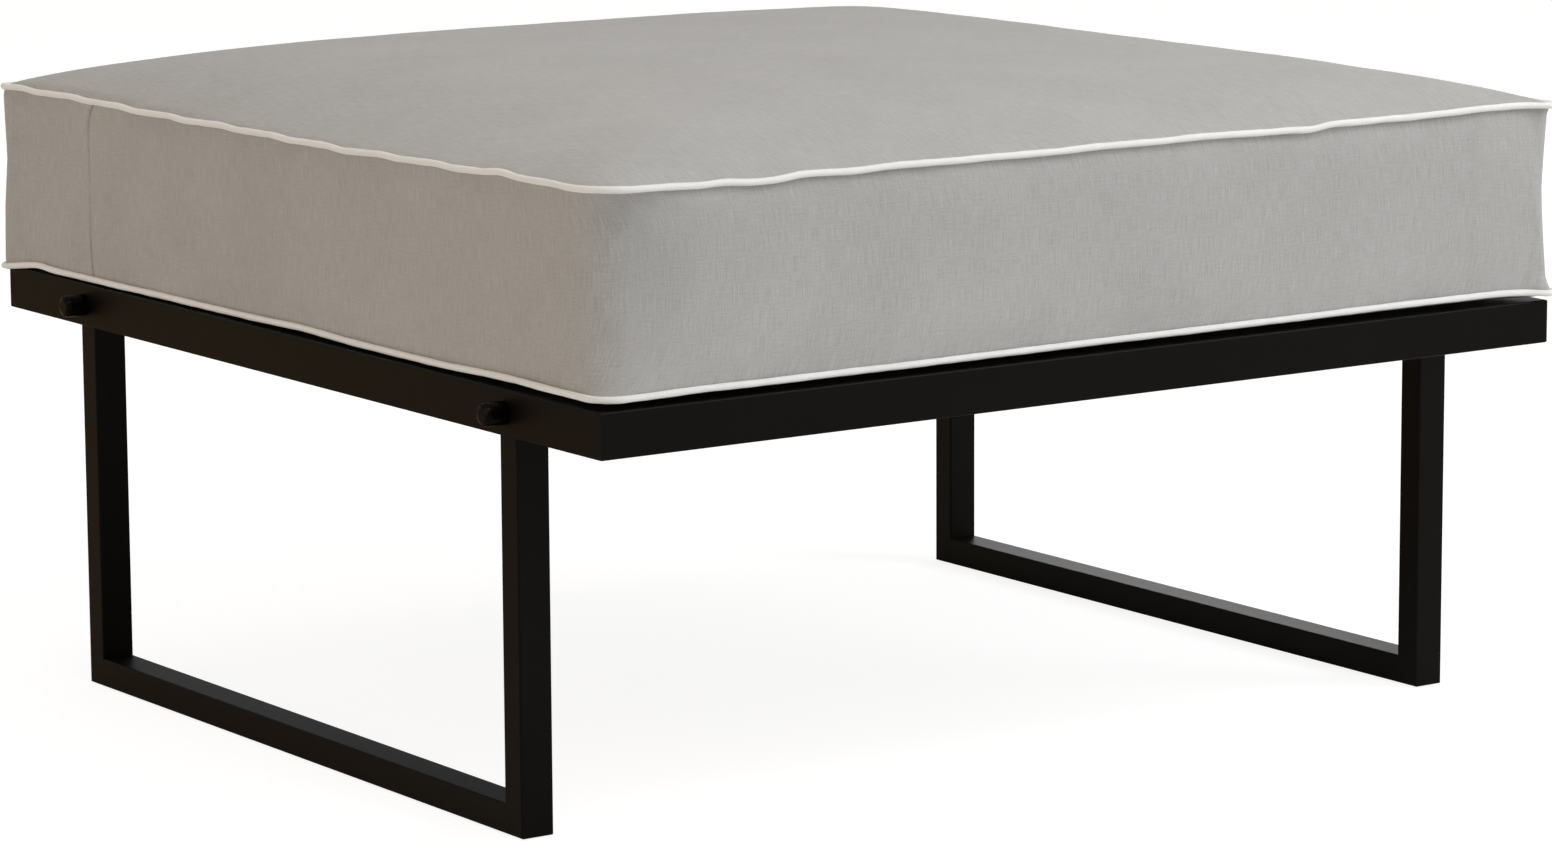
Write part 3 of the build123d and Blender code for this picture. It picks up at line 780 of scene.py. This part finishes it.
def build_welt(name, is_top, material):
    fine = lines(WELT_STEP)
    loop = edge_loop(fine, fine)
    x, y, nx, ny = outline(loop[:, 0], loop[:, 1], 1.0 if is_top else -1.0, -WELT_OUT)
    bottom, top = welt_heights(loop[:, 0], loop[:, 1])
    along = np.cumsum(loop_steps(loop))
    sway = sum_of_waves(along, TOP_WANDER if is_top else BOTTOM_WANDER)
    path = np.stack([x + nx * sway + CENTRE_X, y + ny * sway, top if is_top else bottom], axis=-1)
    return tube_mesh(name, path, WELT_RADIUS * (1 + sum_of_waves(along, WELT_SWELL)), material)


# Stage


def build_floor():
    """A white floor that looks evenly lit to the camera, and warm on the left to gloss."""
    material, tree, shader = new_material("floor_white")
    shader.inputs["Roughness"].default_value = 0.95
    shader.inputs["Specular IOR Level"].default_value = 0.0
    place = object_place(tree)
    grain = noise_at(tree, place, 60.0, roughness=0.5)
    split = tree.nodes.new("ShaderNodeSeparateXYZ")
    tree.links.new(place, split.inputs[0])
    across = math_node(tree, "SUBTRACT", split.outputs[0], split.outputs[1])
    card = mixed(tree, spread(tree, across, (-1.0, 0.6)), FLOOR_WARM, FLOOR_NEUTRAL)
    path = tree.nodes.new("ShaderNodeLightPath")
    plain = mixed(tree, grain, *FLOOR_WHITE)
    tree.links.new(mixed(tree, path.outputs["Is Glossy Ray"], plain, card), shader.inputs["Base Color"])
    glow = tree.nodes.new("ShaderNodeEmission")
    glow.inputs["Strength"].default_value = FLOOR_GLOW
    blend = tree.nodes.new("ShaderNodeMixShader")
    tree.links.new(math_node(tree, "MULTIPLY", path.outputs["Is Camera Ray"], FLOOR_SEEN), blend.inputs[0])
    tree.links.new(shader.outputs[0], blend.inputs[1])
    tree.links.new(glow.outputs[0], blend.inputs[2])
    tree.links.new(blend.outputs[0], tree.nodes["Material Output"].inputs["Surface"])
    corners = [(x * FLOOR_HALF, y * FLOOR_HALF, 0) for x, y in ((-1, -1), (1, -1), (1, 1), (-1, 1))]
    make_mesh("floor", corners, [[0, 1, 2, 3]], material)


def build_world():
    """White where it is seen, and dimmer with a warm left side as light."""
    world = bpy.data.worlds.new("studio")
    bpy.context.scene.world = world
    world.use_nodes = True
    tree = world.node_tree
    background = tree.nodes["Background"]
    way = tree.nodes.new("ShaderNodeSeparateXYZ")
    tree.links.new(tree.nodes.new("ShaderNodeTexCoord").outputs["Generated"], way.inputs[0])
    tint = mixed(tree, spread(tree, way.outputs[0], (-0.9, 0.1)), WORLD_WARM, WORLD_COOL)
    path = tree.nodes.new("ShaderNodeLightPath")
    seen = math_node(tree, "MAXIMUM", path.outputs["Is Camera Ray"], path.outputs["Is Transmission Ray"])
    tree.links.new(mixed(tree, seen, tint, (1.0, 1.0, 1.0)), background.inputs["Color"])
    tree.links.new(spread(tree, seen, (0.0, 1.0), (WORLD_LIGHT, 1.0)), background.inputs["Strength"])


def build_lamp(name, place, aim, width, depth, watts, colour):
    light = bpy.data.lights.new(name, "AREA")
    light.shape = "ELLIPSE"
    light.size = width
    light.size_y = depth
    light.energy = watts
    light.color = colour
    obj = bpy.data.objects.new(name, light)
    obj.location = place
    obj.rotation_euler = (Vector(aim) - Vector(place)).to_track_quat("-Z", "Y").to_euler()
    obj.visible_camera = False
    bpy.context.scene.collection.objects.link(obj)


def build_camera():
    camera = bpy.data.cameras.new("camera")
    camera.lens = LENS
    camera.sensor_width = SENSOR
    camera.shift_x = SHIFT_X
    obj = bpy.data.objects.new("camera", camera)
    obj.location = CAMERA_PLACE
    obj.rotation_euler = (math.pi / 2 - CAMERA_DOWN, 0.0, -CAMERA_YAW)
    bpy.context.scene.collection.objects.link(obj)
    bpy.context.scene.camera = obj


def finish_nodes(materials):
    """Gives every CAD node that stays in view the material of its slot."""
    slots = {s["node"]: s["material_slot"] for s in frame["record"]["subparts"]}
    for name, obj in frame["nodes"].items():
        obj.data.materials.clear()
        obj.data.materials.append(materials[slots[name]])


cloth = woven_cloth("cover_cloth", *COVER_GREY)
welt_cloth = woven_cloth("welt_cloth", *WELT_WHITE, slub=0.5)
materials = {
    "frame_black": powder_coat("frame_coat", *FRAME_BLACK, roughness=0.44, specular=0.1),
    "peg_black": powder_coat("peg_coat", *PEG_BLACK, roughness=0.28, specular=0.07),
    "rivet_nut_steel": black_zinc("nut_zinc", *ZINC_BLACK),
    "glide_nylon": powder_coat("glide_nylon", *NYLON_BLACK, grain=900.0, roughness=0.55),
    "socket_nylon": powder_coat("socket_nylon", *NYLON_BLACK, grain=900.0),
    "cover_fabric": cloth,
    "welt_fabric": welt_cloth,
    "foam": cloth,
    "polyester_wrap": cloth,
    "zip_plastic": zip_nylon("zip_nylon", *ZIP_GREY),
    "zip_metal": powder_coat("zip_enamel", *ENAMEL_GREY, grain=1200.0, roughness=0.4, specular=0.5),
}
finish_nodes(materials)

cover = build_cover(cloth)
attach(cover, "cushion")
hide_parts("top_panel", "bottom_panel", "boxing_band", "zip_end_left", "zip_end_right",
            "zip_band_upper", "zip_band_lower", "foam_core", "fibre_wrap")

for name, node, is_top in (("piping_top", "top_welt", True), ("piping_bottom", "bottom_welt", False)):
    piping = build_welt(name, is_top, welt_cloth)
    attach(piping, "cushion")
    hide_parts(node)

build_floor()
build_world()
for lamp in LAMPS:
    build_lamp(*lamp)
build_camera()
bpy.context.scene.view_settings.view_transform = "Standard"
